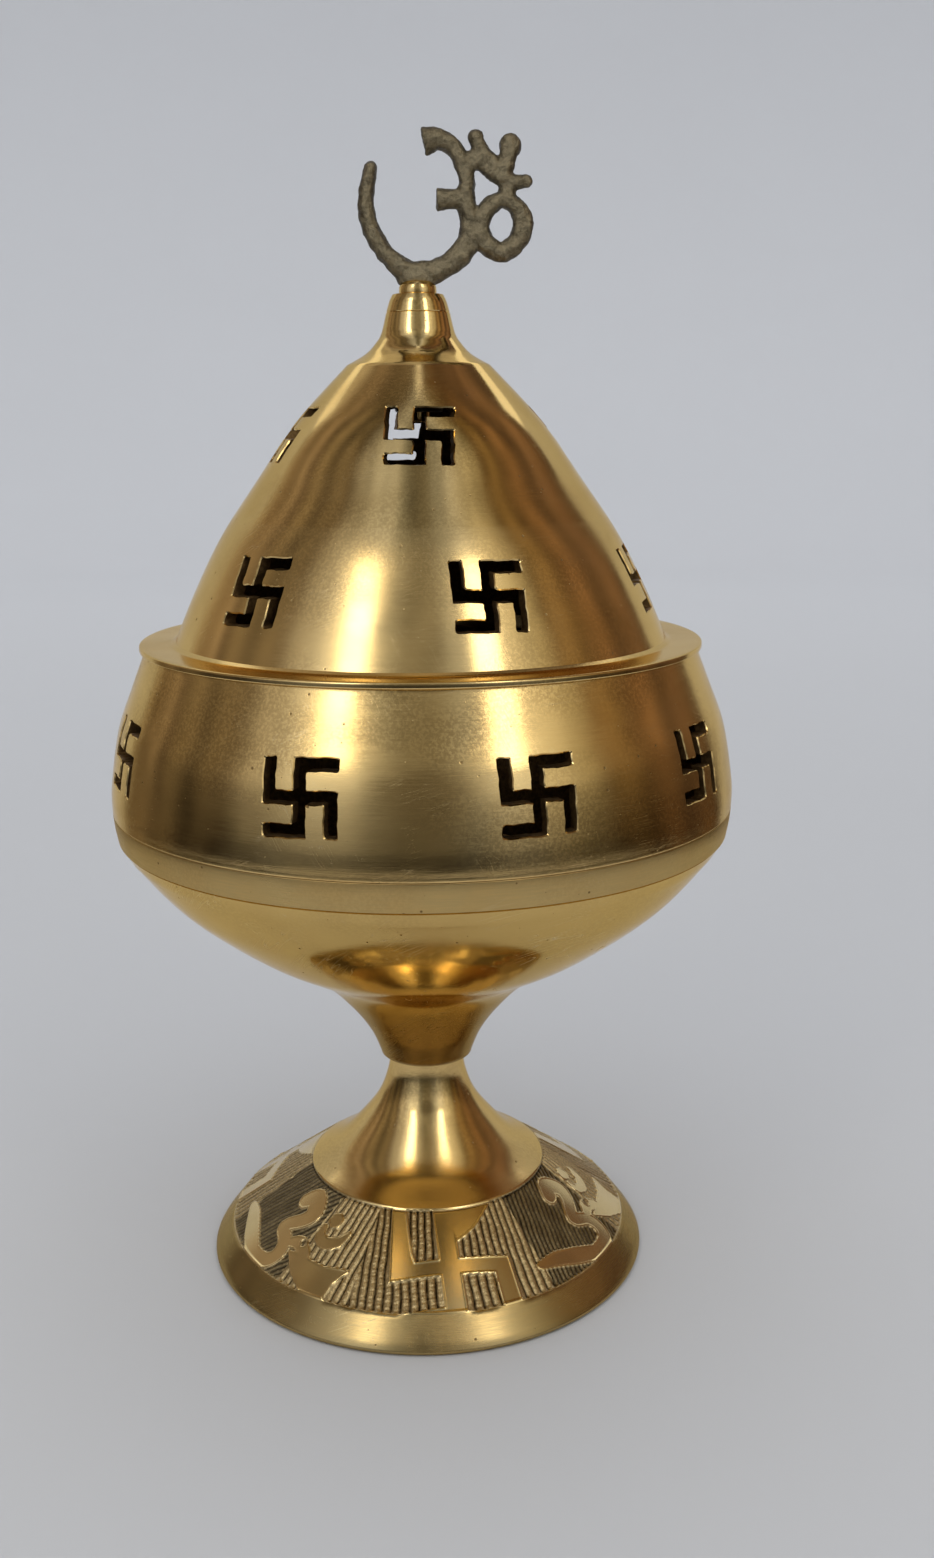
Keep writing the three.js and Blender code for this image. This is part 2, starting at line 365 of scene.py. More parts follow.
class Finish:
    """A node material with short calls for the nodes it needs."""

    def __init__(self, name):
        self.material = bpy.data.materials.new(name)
        self.material.use_nodes = True
        self.tree = self.material.node_tree
        self.tree.nodes.clear()
        metres = self.node("TexCoord").outputs["Object"]
        self.place = self.node("VectorMath", {0: metres, "Scale": 1 / MM}, operation="SCALE").outputs[0]

    def node(self, kind, inputs=None, **settings):
        made = self.tree.nodes.new("ShaderNode" + kind)
        for key, value in settings.items():
            setattr(made, key, value)
        for key, value in (inputs or {}).items():
            if isinstance(value, bpy.types.NodeSocket):
                self.tree.links.new(value, made.inputs[key])
            else:
                made.inputs[key].default_value = value
        return made

    def math(self, operation, a, b=0.0, clamp=False):
        return self.node("Math", {0: a, 1: b}, operation=operation, use_clamp=clamp).outputs[0]

    def plus(self, a, b, clamp=False):
        return self.math("ADD", a, b, clamp)

    def minus(self, a, b):
        return self.math("SUBTRACT", a, b)

    def times(self, a, b, clamp=False):
        return self.math("MULTIPLY", a, b, clamp)

    def length(self, a, b):
        return self.math("SQRT", self.plus(self.times(a, a), self.times(b, b)))

    def xyz(self):
        return self.node("SeparateXYZ", {0: self.place}).outputs

    def spread(self, value, low, high, to_low=0.0, to_high=1.0):
        """Smooth step from one pair of values to another."""
        inputs = {"Value": value, "From Min": low, "From Max": high, "To Min": to_low, "To Max": to_high}
        return self.node("MapRange", inputs, interpolation_type="SMOOTHSTEP").outputs[0]

    def mix(self, factor, a, b):
        return self.node("Mix", {0: factor, 6: a, 7: b}, data_type="RGBA").outputs[2]

    def cloud(self, size, detail=2.0, rough=0.5, twist=0.0, turn=None, place=None):
        """Noise whose place is turned first and then stretched by size, one number or three."""
        place = self.place if place is None else place
        if turn:
            place = self.node("VectorRotate", {"Vector": place, "Rotation": turn},
                              rotation_type="EULER_XYZ").outputs[0]
        place = self.node("VectorMath", {0: place, 1: np.broadcast_to(size, 3).tolist()},
                          operation="MULTIPLY").outputs[0]
        inputs = {"Vector": place, "Scale": 1.0, "Detail": detail, "Roughness": rough}
        return self.node("TexNoise", {**inputs, "Distortion": twist}).outputs["Fac"]

    def rings(self, slope):
        """Vector that changes quickly along a turned profile and slowly round it."""
        around = 0.035
        x, y, z = self.xyz()
        ring = self.plus(self.times(self.length(x, y), slope), z)
        return self.node("CombineXYZ", {0: self.times(x, around), 1: self.times(y, around),
                                        2: ring}).outputs[0]

    def scratches(self, size, turn, width, amount):
        """Thin lines where a stretched noise crosses its middle, kept to patches."""
        away = self.math("ABSOLUTE", self.minus(self.cloud(size, 0.0, 0.5, 0.15, turn), 0.5))
        line = self.spread(away, 0.0, width, 1.0, 0.0)
        patch = self.spread(self.cloud(0.11, turn=turn), 0.5, 0.66)
        return self.times(self.times(line, patch), amount)

    def pits(self, scale, size, share):
        """Small round marks in a share of the cells of a grid."""
        dots = self.node("TexVoronoi", {"Vector": self.place, "Scale": scale})
        near = self.spread(dots.outputs["Distance"], size * 0.55, size, 1.0, 0.0)
        chosen = self.node("SeparateColor", {0: dots.outputs["Color"]}).outputs[0]
        return self.times(near, self.math("GREATER_THAN", chosen, 1 - share))

    def bump(self, height, depth):
        """Normal of a height, its depth in mm."""
        return self.node("Bump", {"Height": height, "Strength": 1.0, "Distance": depth * MM}).outputs[0]

    def surface(self, colour, roughness, normal=None, anisotropy=0.0, metallic=1.0, edge=(1, 1, 1, 1)):
        inputs = {"Base Color": colour, "Roughness": roughness, "Metallic": metallic,
                  "Specular Tint": edge}
        if normal is not None:
            inputs["Normal"] = normal
        if anisotropy:
            inputs["Anisotropic"] = anisotropy
            inputs["Tangent"] = self.node("Tangent", direction_type="RADIAL", axis="Z").outputs[0]
        return self.finished(self.node("BsdfPrincipled", inputs))

    def finished(self, shader):
        self.node("OutputMaterial", {0: shader.outputs[0]})
        return self.material


BRASS = (0.8, 0.565, 0.235, 1)
BRASS_WARM = (0.66, 0.43, 0.155, 1)
BRASS_DARK = (0.2, 0.12, 0.045, 1)
BRASS_EDGE = (0.94, 0.82, 0.57, 1)
BRASS_GRAIN = (0.42, 0.27, 0.1, 1)
BRASS_SCRATCH_GLINT = (0.92, 0.8, 0.52, 1)
BRASS_PAINTED_SHADE = (0.34, 0.215, 0.085, 1)
BRASS_SATIN = (0.86, 0.66, 0.34, 1)
BELLY_YELLOW = (0.77, 0.53, 0.19, 1)
BAND_OLIVE = (0.54, 0.385, 0.16, 1)
RIM_OLIVE = (0.4, 0.295, 0.13, 1)
INSIDE_BROWN = (0.3, 0.185, 0.075, 1)
INSIDE_DARK = (0.17, 0.1, 0.042, 1)
SOOT = (0.035, 0.026, 0.018, 1)
RELIEF_BRIGHT = (0.82, 0.62, 0.29, 1)
RELIEF_WARM = (0.68, 0.47, 0.19, 1)
GROOVE_WORN = (0.74, 0.57, 0.3, 1)
GROOVE_BROWN = (0.42, 0.31, 0.15, 1)
GROOVE_DARK = (0.065, 0.047, 0.024, 1)
CAST_DARK = (0.16, 0.135, 0.085, 1)
CAST_PALE = (0.37, 0.31, 0.2, 1)
CAST_RUBBED = (0.42, 0.35, 0.22, 1)
# darker copies of the cast colours for the sides of the strokes: dark finish together with painted shade
CAST_SIDE_DARK = (0.075, 0.062, 0.042, 1)
CAST_SIDE_PALE = (0.2, 0.172, 0.115, 1)
STEEL = (0.46, 0.46, 0.44, 1)
RUST = (0.2, 0.15, 0.1, 1)
PAPER = (0.64, 0.645, 0.66, 1)
DIM_SHAPE = (0.1, 0.09, 0.075, 1)
WORLD_PALE = (0.76, 0.775, 0.8, 1)
BLACK = (0, 0, 0, 1)


def turned_brass(name, slope, roughness, lines, wear, anisotropy=0.3, grain=0.5, colour=BRASS,
                 painted_shade_heights=None, satin=None):
    """Lathe-turned brass: ring lines, hand scratches lightened by a painted glint, small dark pits and
    faint tarnish.
    slope leans the rings with the wall. The pair of heights for painted shade, if given, is where the metal
    turns darker and browner going down, and satin one below which it is duller."""
    f = Finish(name)
    rings = f.rings(slope)
    fine = f.cloud((6, 6, 9), 4.0, 0.7, place=rings)
    broad = f.cloud((8, 8, 0.9), place=rings)
    scratch = f.plus(f.scratches((0.1, 0.1, 2.1), (0.5, 0.3, 0), 0.022, wear),
                     f.scratches((1.8, 1.8, 0.09), (0.25, 0.5, 0.4), 0.022, wear * 0.8))
    smudge = f.cloud((0.06, 0.06, 0.05), 3.0, 0.6, 0.6)
    speckle = f.cloud(2.4, 3.0, 0.65)
    grain_here = f.times(f.spread(f.cloud((0.05, 0.05, 0.08)), 0.4, 0.62), grain)
    dark = f.math("MAXIMUM", f.pits(0.42, 0.1, 0.3), f.times(f.pits(0.9, 0.1, 0.18), 0.7))
    tone = f.mix(f.spread(smudge, 0.42, 0.72, 0.0, 0.38), colour, BRASS_WARM)
    tone = f.mix(f.times(f.spread(fine, 0.3, 0.62, 0.26, 0.0), lines), tone, BRASS_WARM)
    tone = f.mix(f.times(f.spread(speckle, 0.42, 0.62, 0.55, 0.0), grain_here), tone, BRASS_GRAIN)
    # painted glint: scratches are lightened in colour as well as roughened
    tone = f.mix(f.times(scratch, 0.22, True), tone, BRASS_SCRATCH_GLINT)
    tone = f.mix(f.times(dark, 0.75), tone, BRASS_DARK)
    rough = f.plus(f.spread(smudge, 0.3, 0.7, roughness - 0.03, roughness + 0.06),
                   f.times(f.spread(fine, 0.35, 0.7), 0.06 * lines))
    rough = f.plus(rough, f.times(scratch, 0.14))
    rough = f.plus(rough, f.times(dark, 0.3))
    up = f.xyz()[2]
    # painted shade: the metal is darkened and made browner low down on the piece
    if painted_shade_heights:
        tone = f.mix(f.spread(up, *painted_shade_heights, 0.9, 0.0), tone, BRASS_PAINTED_SHADE)
        rough = f.plus(rough, f.spread(up, *painted_shade_heights, 0.1, 0.0))
    if satin:
        below = f.spread(up, satin - 0.15, satin + 0.15, 1.0, 0.0)
        rough = f.plus(rough, f.times(below, 0.045))
        tone = f.mix(f.times(below, 0.1), tone, BRASS_SATIN)
    height = f.times(f.plus(fine, f.times(broad, 1.4)), lines)
    height = f.plus(height, f.times(f.times(speckle, grain_here), 1.6))
    height = f.minus(height, f.times(scratch, 0.6))
    height = f.minus(height, f.times(dark, 3.0))
    return f.surface(tone, rough, f.bump(height, 0.004), anisotropy, edge=BRASS_EDGE)


def dull_brass(name, soot):
    """Unpolished inner faces, turned brown by smoke."""
    f = Finish(name)
    grain = f.cloud(1.6, 5.0, 0.65)
    stain = f.cloud((0.09, 0.09, 0.12), 4.0, 0.6, 0.8)
    base = f.mix(f.spread(grain, 0.35, 0.65), INSIDE_BROWN, INSIDE_DARK)
    tone = f.mix(f.spread(stain, 0.7 - soot * 0.4, 1.0 - soot * 0.4), base, SOOT)
    return f.surface(tone, f.spread(stain, 0.3, 0.7, 0.42, 0.68), f.bump(grain, 0.05))


def chiselled_brass(name):
    """Polished tops and dark, grainy grooves, told apart by the depth stored on the mesh."""
    f = Finish(name)
    depth = f.node("Attribute", attribute_name="patina").outputs["Fac"]
    grain = f.cloud(3.5, 4.0, 0.7)
    smudge = f.cloud(0.12, 3.0)
    fine = f.cloud((6, 6, 8), 4.0, 0.7, place=f.rings(-0.8))
    top = f.mix(f.spread(smudge, 0.4, 0.7, 0.0, 0.5), RELIEF_BRIGHT, RELIEF_WARM)
    worn = f.mix(f.spread(grain, 0.35, 0.65), GROOVE_WORN, GROOVE_BROWN)
    tone = f.mix(f.spread(depth, 0.05, 0.22), top, worn)
    tone = f.mix(f.spread(depth, 0.42, 0.95), tone, GROOVE_DARK)
    rough = f.plus(f.spread(depth, 0.05, 0.25, 0.13, 0.34), f.times(grain, 0.1))
    height = f.plus(f.times(grain, f.spread(depth, 0.05, 0.3, 0.12, 4.0)), f.times(fine, 0.5))
    return f.surface(tone, rough, f.bump(height, 0.012))


def cast_brass(name):
    """Sand-cast brass under a dark antique finish, its flat faces worn and lighter, its sides darker from
    the dark finish together with painted shade.
    """
    f = Finish(name)
    sand = f.cloud(1.25, 5.0, 0.68, 0.3)
    grit = f.cloud(5.5, 3.0, 0.6)
    patch = f.cloud(0.4, 3.0, 0.6, 0.5)
    facing = f.node("SeparateXYZ", {0: f.node("TexCoord").outputs["Normal"]}).outputs[1]
    face = f.mix(f.spread(sand, 0.26, 0.72), CAST_DARK, CAST_PALE)
    face = f.mix(f.spread(patch, 0.45, 0.72, 0.0, 0.5), face, CAST_RUBBED)
    # painted shade together with dark finish: faces turned sideways take the darker copies
    side = f.mix(f.spread(sand, 0.34, 0.68), CAST_SIDE_DARK, CAST_SIDE_PALE)
    rubbed_and_lit = f.plus(f.spread(f.math("ABSOLUTE", facing), 0.3, 0.92), f.times(f.minus(grit, 0.5), 0.4))
    tone = f.mix(f.plus(rubbed_and_lit, 0.0, True), side, face)
    height = f.plus(sand, f.times(grit, 0.35))
    return f.surface(tone, f.spread(sand, 0.3, 0.7, 0.34, 0.56), f.bump(height, 0.22))


def plated_steel(name):
    """Zinc-plated fasteners with a little rust."""
    f = Finish(name)
    grain = f.cloud((2.5, 2.5, 9), 4.0, 0.6)
    rust = f.cloud(0.6, 4.0, 0.6, 0.4)
    tone = f.mix(f.spread(rust, 0.55, 0.8), STEEL, RUST)
    return f.surface(tone, f.spread(grain, 0.3, 0.7, 0.28, 0.48), f.bump(grain, 0.02))


# ---- foot

def stroke(stations, widths, steps):
    """Points along a stroke and half its width at each of them."""
    reach = np.interp(np.linspace(0, 1, steps + 1), np.linspace(0, 1, len(widths)), widths) / 2
    return np.array(flowing(stations, steps)), reach


def distance_to_segment(x, y, a, b):
    """Distance to a segment, and the share of it passed at the nearest point."""
    dx, dy = b[0] - a[0], b[1] - a[1]
    t = np.clip(((x - a[0]) * dx + (y - a[1]) * dy) / (dx * dx + dy * dy), 0, 1)
    return np.hypot(x - a[0] - t * dx, y - a[1] - t * dy), t


def distance_to_stroke(x, y, stations, widths, steps=16):
    """Signed distance to a stroke through the stations, its width changing along it."""
    line, reach = stroke(stations, widths, steps)
    best = np.full(np.shape(x), FAR)
    for k in range(steps):
        away, t = distance_to_segment(x, y, line[k], line[k + 1])
        best = np.minimum(best, away - (reach[k] + (reach[k + 1] - reach[k]) * t))
    return best


def distance_to_plate(x, y, corners):
    """Signed distance to a polygon, negative inside."""
    best = np.full(np.shape(x), FAR)
    inside = np.zeros(np.shape(x), bool)
    for a, b in zip(corners, corners[1:] + corners[:1]):
        best = np.minimum(best, distance_to_segment(x, y, a, b)[0])
        level = (b[1] - a[1]) or 1.0
        crosses = (a[1] > y) != (b[1] > y)
        inside ^= crosses & (x < a[0] + (y - a[1]) * (b[0] - a[0]) / level)
    return np.where(inside, -best, best)


def svastika_relief(x, y):
    """Svastika left standing between the chiselled wells."""
    x = x / (1 - 0.55 * y / APEX_TO_MIDDLE)
    stem = [(-1.5, -9.4), (1.6, -9.4), (1.45, 9.6), (-2.2, 9.6)]
    bar = [(-9.2, -2.3), (9.0, -2.4), (9.1, 0.4), (-9.2, 0.3)]
    top = [(0, 9.6), (9.4, 9.6), (7.4, 7.5), (5.0, 5.0), (3.0, 3.5), (1.2, 2.6)]
    right = [(6.3, -7.4), (9.2, -7.2), (9.1, 0.0), (6.2, -1.0)]
    bottom = [(-9.6, -9.6), (0, -9.6), (0, -6.9), (-8.6, -7.2)]
    left = [(-9.2, -1.0), (-4.7, -1.0), (-5.6, 1.6), (-6.8, 9.6), (-9.4, 9.6)]
    return np.minimum.reduce([distance_to_plate(x, y, shape)
                              for shape in (stem, bar, top, right, bottom, left)])


def om_relief(x, y):
    """Om cut with broad strokes: the three, its hook, a leaf for a tail, a crescent and a dot."""
    three = distance_to_stroke(
        x, y, [(-2.9, 4.1), (-1.2, 5.3), (0.5, 3.4), (-0.4, 1.4), (-3.0, -0.9), (-0.9, -2.5), (0.0, -4.3),
               (-0.6, -6.1), (-2.6, -7.0), (-5.3, -6.8)],
        [2.9, 3.6, 3.4, 2.8, 2.6, 2.6, 2.8, 2.8, 2.8, 2.8], 36)
    hook = distance_to_stroke(
        x, y, [(-5.3, -6.8), (-9.0, -4.4), (-12.2, -2.2), (-15.1, -0.8)], [2.8, 3.1, 2.7, 1.3])
    leaf = distance_to_plate(
        x, y, [(1.6, -3.4), (4.6, -2.9), (8.7, -2.3), (12.6, -0.5), (11.8, -3.2), (12.3, -6.6), (8.0, -6.9),
               (4.6, -5.6)]) - 0.25
    crescent = distance_to_stroke(
        x, y, [(4.0, 2.6), (4.6, 1.0), (6.4, 0.7), (8.0, 2.0), (8.5, 3.8)], [1.1, 1.9, 2.2, 1.9, 1.0])
    dot = np.hypot(x - 5.1, y - 4.3) - 1.3
    eye = 0.55 - np.hypot(x - 2.9, y + 1.2)
    joined = distance_to_stroke(x, y, [(0.0, -2.6), (2.2, -1.6), (4.6, -2.6)], [1.6, 2.6, 2.0], 8)
    return np.minimum.reduce([three, hook, leaf, crescent, dot, np.maximum(joined, eye)])


def ridges(across, along, pitch, seed):
    """Ground chiselled in near-parallel strokes: 0 in a groove, 1 on a ridge."""
    wander = 0.07 * np.sin(along * 0.45 + seed) + 0.05 * np.sin(along * 1.3 + across * 0.8 + seed * 2.3)
    g = (across + wander) / pitch
    number = np.floor(g)
    unequal = np.sin(number * 12.9898 + seed * 78.233) * 43758.5453
    unequal = unequal - np.floor(unequal)
    off = np.abs(2 * (g - number) - 1)
    chatter = 0.05 * np.sin(along * 5.1 + number * 2.4) + 0.04 * np.sin(along * 11.3 + number * 5.7)
    return np.clip((1 - off ** 2.4) * (0.84 + 0.2 * unequal + chatter), 0, 1.05)


def hump(value, middle, width):
    return np.exp(-((value - middle) / width) ** 2)


def band_relief(azimuth, along):
    """Height off the band's surface (mm, negative in the wells) and how dark the patina is there."""
    well, ridge, burr, lip, groove = -0.48, 0.40, 0.07, 0.10, 0.16
    step_width, fade_width, from_end, groove_width = 0.24, 0.28, 0.30, 0.16
    shade_plain, shade_finer = 0.27, 0.70
    sector = 360 / MOTIFS
    number = np.round((azimuth - FIRST_MOTIF_AZIMUTH) / sector)
    reach = APEX_TO_LOW - along
    raised = np.full(azimuth.shape, FAR)
    for beside in (-1, 0, 1):
        turn = np.radians(azimuth - FIRST_MOTIF_AZIMUTH - (number + beside) * sector) * BAND_SIN
        x, y = reach * np.sin(turn), APEX_TO_MIDDLE - reach * np.cos(turn)
        is_om = (number + beside).astype(int) % 2 != 0
        raised = np.minimum(raised, np.where(is_om, om_relief(x, y), svastika_relief(x, y)))
        if beside == 0:
            straight = ridges(x / (1 - 0.6 * y / APEX_TO_MIDDLE), y, 1.22, 1.7)
            slanting = ridges(0.8 * x - 0.6 * y, 0.6 * x + 0.8 * y, 0.8, 4.1)
            is_finer = is_om & (x < 3.0)
            ground = np.where(is_finer, slanting, straight)
    to_high = BAND_LENGTH - along
    solid = np.clip(0.5 - raised / step_width, 0, 1)
    solid = solid * solid * (3 - 2 * solid)
    fade = np.clip(np.minimum(along, to_high) / fade_width, 0, 1)
    rim_groove = hump(to_high, from_end, groove_width)
    height = ((well + ridge * ground) * (1 - solid) + burr * hump(raised, -0.12, 0.13)) * fade
    height = height - groove * rim_groove + lip * hump(along, from_end, groove_width)
    shade_here = np.where(is_finer, shade_finer, shade_plain)
    patina = (1 - solid) * fade * (shade_here + (1 - shade_here) * (1 - ground)) + 0.25 * rim_groove
    return height, np.clip(patina, 0, 1)


def make_foot(outside, inside, band, satin):
    """Hollow cast foot, its band fine enough for the chiselled relief."""
    coarse, fine_count, steps = 240, 1440, 108
    top = COLLAR_LOW_Z - SEAM
    trumpet = flowing([BAND_HIGH, (14.4, 17.3), (10.7, 21.2), (7.8, 25.2), (6.3, 29.2), (5.75, top)], 56)
    hollow = [(9.4, FOOT_CEILING_Z, 1.0), (17, 13.4, 1.5), (29.6, 4.4, 1.5), (32.4, 0)]
    rim = rounded([(32.4, 0, 0.25), (34.4, 0, 0.3), (FOOT_RADIUS, 0.6, 0.35), (34.5, 1.5, 0.6),
                   tuple(BAND_LOW)], False)
    rim = refined(rim, 0.9, False)[1:-1]
    neck = rounded([trumpet[-1], (BOLT_BORE, top), (BOLT_BORE, FOOT_CEILING_Z)] + hollow, False)
    neck = refined(neck, 2.0, False)[1:]
    normal = np.array([-(BAND_LOW - BAND_HIGH)[1], (BAND_LOW - BAND_HIGH)[0]]) / BAND_LENGTH
    azimuth = np.arange(fine_count) * 360 / fine_count
    azimuth = np.where(azimuth > 180, azimuth - 360, azimuth)
    rows = [(coarse, r, z) for r, z in rim] + [(coarse, *BAND_LOW)]
    patina = []
    for k in range(1, steps):
        height, dark = band_relief(azimuth, BAND_LENGTH * k / steps)
        middle = BAND_LOW + (BAND_HIGH - BAND_LOW) * k / steps
        rows.append((fine_count, middle[0] + normal[0] * height, middle[1] + normal[1] * height))
        patina.append(dark)
    rows += [(coarse, r, z) for r, z in trumpet + neck]
    vertices, faces = loft(rows)
    piece = make_object("foot_casting", vertices, faces, 75)
    before = coarse * (len(rim) + 1)
    values = np.zeros(len(vertices), np.float32)
    values[before:before + fine_count * (steps - 1)] = np.concatenate(patina)
    piece.data.attributes.new("patina", "FLOAT", "POINT").data.foreach_set("value", values)

    radius, height = face_places(piece)
    cone = np.interp(height, [BAND_LOW[1], BAND_HIGH[1]], [BAND_LOW[0], BAND_HIGH[0]])
    on_band = (np.abs(radius - cone) < 1.0) & (height > BAND_LOW[1]) & (height < BAND_HIGH[1])
    under = np.interp(height, [point[1] for point in hollow[::-1]], [point[0] for point in hollow[::-1]])
    inner = (radius < under + 0.2) & (height < FOOT_CEILING_Z + 0.1)
    index = np.select([on_band, inner, height < BAND_LOW[1]], [2, 1, 3], 0)
    return dress(piece, [outside, inside, band, satin], index)


# ---- shells

def make_bowl(outside, inside, satin):
    wall = flowing([(7.3, COLLAR_LOW_Z + 0.3), (9.1, 37.2), (12.6, 42), (18, 47.2), (28.2, 53.2),
                    (38.4, 61.2), (45.1, 69.1)], 60)
    wall += [(46.1, 70.8), (45.9, 70.95), (46.42, 71.12), (46.8, 73.2)]
    hollow = flowing([(43.9, JOINT_Z), (42.6, 69.8), (36.6, 62.2), (26.8, 54.9),
                      (15.5, BOWL_FLOOR_Z)], 30)
    rebate_top = JOINT_Z + 2.2
    outline = ([(BOLT_BORE, COLLAR_LOW_Z), (7.26, COLLAR_LOW_Z, 0.08)] + wall
               + [(WIDEST_RADIUS, JOINT_Z - 0.02, 0.15), (45.3, JOINT_Z), (45.3, rebate_top, 0.2),
                  (43.9, rebate_top, 0.2)] + hollow + [(BOLT_BORE, BOWL_FLOOR_Z)])
    piece = turned("bowl_casting", outline)
    inner = is_inside(piece, wall + [(WIDEST_RADIUS, JOINT_Z)])
    height = face_places(piece)[1]
    on_band = (height > 71.0) & (height < JOINT_Z + 0.01)
    return dress(piece, [outside, inside, satin], np.select([inner, on_band], [1, 2], 0))


def make_gallery(outside, inside):
    thickness = 1.8
    seat = JOINT_Z + SHUT
    wall = flowing([(WIDEST_RADIUS, GALLERY_SEAT_Z), (46.9, 79.2), (45.5, 87.2), (43.2, 93.4),
                    (41.2, GALLERY_TOP_Z)], 40)
    hollow = [(r - thickness, z) for r, z in wall[6:]][::-1]
    spigot = GALLERY_SEAT_Z + 2.2
    outline = ([(WIDEST_RADIUS - 0.02, seat, 0.12)] + wall
               + [(41.15, BRIM_Z - SEAM, 0.1)] + [(39.4, BRIM_Z - SEAM)] + hollow
               + [(45.1, spigot), (45.6, spigot), (45.6, seat)])
    piece = turned("gallery_ring", outline)
    azimuths = [-67.5, -20, 18.5, 56, 95, 135, 175, 214, 253]
    pierce(piece, wall, [(a, 85.5, 5.1) for a in azimuths])
    return dress(piece, [outside, inside], is_inside(piece, wall + [(41.15, BRIM_Z)]))


def make_lid(outside, inside):
    dome = flowing([(36.7, BRIM_TOP_Z), (33.4, 107.2), (29.2, 115.2), (23.7, 123.2),
                    (18, 131.2), (10.4, 139.2)], 60)
    neck = flowing([(10.4, 139.2), (7.6, 140.8), (6.0, 142.5), (5.4, 143.5), (5.05, 144.6),
                    (4.62, 146.4)], 36)[1:]
    neck += [(4.5, 146.5)] + flowing([(4.56, 146.62), (4.1, 148.1), (3.68, NECK_TOP_Z - 0.15)], 8)
    hollow = flowing([(9.4, LID_CEILING_Z), (16, 131), (21.8, 122.9), (27.4, 114.8),
                      (31.6, 106.8), (35, BRIM_Z)], 40)
    outline = ([(STUD_BORE, LID_CEILING_Z)] + hollow
               + [(37.7, BRIM_Z), (37.7, LIP_Z, 0.2), (39, LIP_Z, 0.2), (39, BRIM_Z),
                  (BRIM_RADIUS, BRIM_Z, 0.3), (BRIM_RADIUS, BRIM_TOP_Z, 0.3),
                  (37.3, BRIM_TOP_Z - 0.03, 0.3)]
               + dome[1:] + neck + [(3.2, NECK_TOP_Z, 0.2), (STUD_BORE, NECK_TOP_Z)])
    piece = turned("lid_shell", outline)
    lower = [(a, 109.2, 4.95) for a in (-43.5, 16, 76, 136, 196, 256)]
    upper = [(0, 129.6, 4.75), (95, 129.6, 4.75), (195, 129.4, 5.0), (283, 129.6, 4.75)]
    pierce(piece, dome, lower + upper)
    inner = is_inside(piece, [(BRIM_RADIUS, BRIM_Z - 0.01), (BRIM_RADIUS, BRIM_TOP_Z)] + dome + neck)
    radius, height = face_places(piece)
    on_brim = (radius > 36.5) & (height > BRIM_Z)
    return dress(piece, [outside, inside], inner & ~on_brim)


def make_cup(outside, inside):
    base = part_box("charcoal_cup")[0].z / MM
    outline = [(0, 52.6), (12.3, 52.6, 0.3), (12.3, base, 0.3), (13.5, base, 0.3), (13.5, 52.3, 0.4),
               (16.2, 53.4, 1.0), (18.8, 57.6, 1.5), (19.4, 62.6, 0.5), (20.3, 63.3, 0.3),
               (20.3, 64.2, 0.35), (19.5, 64.4, 0.35), (18.5, 63.6, 0.5), (17.7, 58, 1.5),
               (15.3, 54.6, 0.6), (14.4, 54, 0.5), (0, 54)]
    piece = turned("charcoal_cup_shell", outline, 160)
    radius, height = face_places(piece)
    inner = (height > 53.9) & (radius < np.interp(height, [54, 58, 64], [15.6, 18.0, 18.9]))
    return dress(piece, [outside, inside], inner)


# ---- finial

def stroke_bar(stations, widths, share=1.0, closed=False, steps=40):
    """Bar with a softly squared section along a curve in the XZ plane, its width changing along it.
    share is its part of the full thickness."""
    sides = 20
    run = stations + stations[:1] if closed else stations
    line, reach = stroke(run, widths, steps)
    if closed:
        line, reach = line[:-1], reach[:-1]
        along = np.roll(line, -1, 0) - np.roll(line, 1, 0)
    else:
        along = np.gradient(line, axis=0)
    along /= np.linalg.norm(along, axis=1)[:, None]
    a = np.arange(sides) / sides * 2 * pi
    across = np.sign(np.cos(a)) * np.abs(np.cos(a)) ** 0.9
    through = np.sign(np.sin(a)) * np.abs(np.sin(a)) ** 0.9 * (OM_THICKNESS * share) / 2
    vertices = []
    for (x, z), (tx, tz), half in zip(line, along, reach):
        vertices.append(np.stack([x - tz * across * half, through, z + tx * across * half], 1))
    rings = len(line)
    faces = []
    for k in range(rings if closed else rings - 1):
        m = (k + 1) % rings
        faces += stitch(k * sides, sides, m * sides, sides)
    if not closed:
        faces += [tuple(range(sides)), tuple(range((rings - 1) * sides, rings * sides))]
    return np.concatenate(vertices), faces


def knob(x, z, radius, share):
    """Round end of a stroke."""
    rows = [(0, -0.5), (0.6, -0.46), (0.9, -0.3), (1.0, 0.0), (0.9, 0.3), (0.6, 0.46), (0, 0.5)]
    vertices, faces = loft([(24, r * radius, t * (OM_THICKNESS * share)) for r, t in rows])
    return np.stack([vertices[:, 0] + x, vertices[:, 2], vertices[:, 1] + z], 1), faces


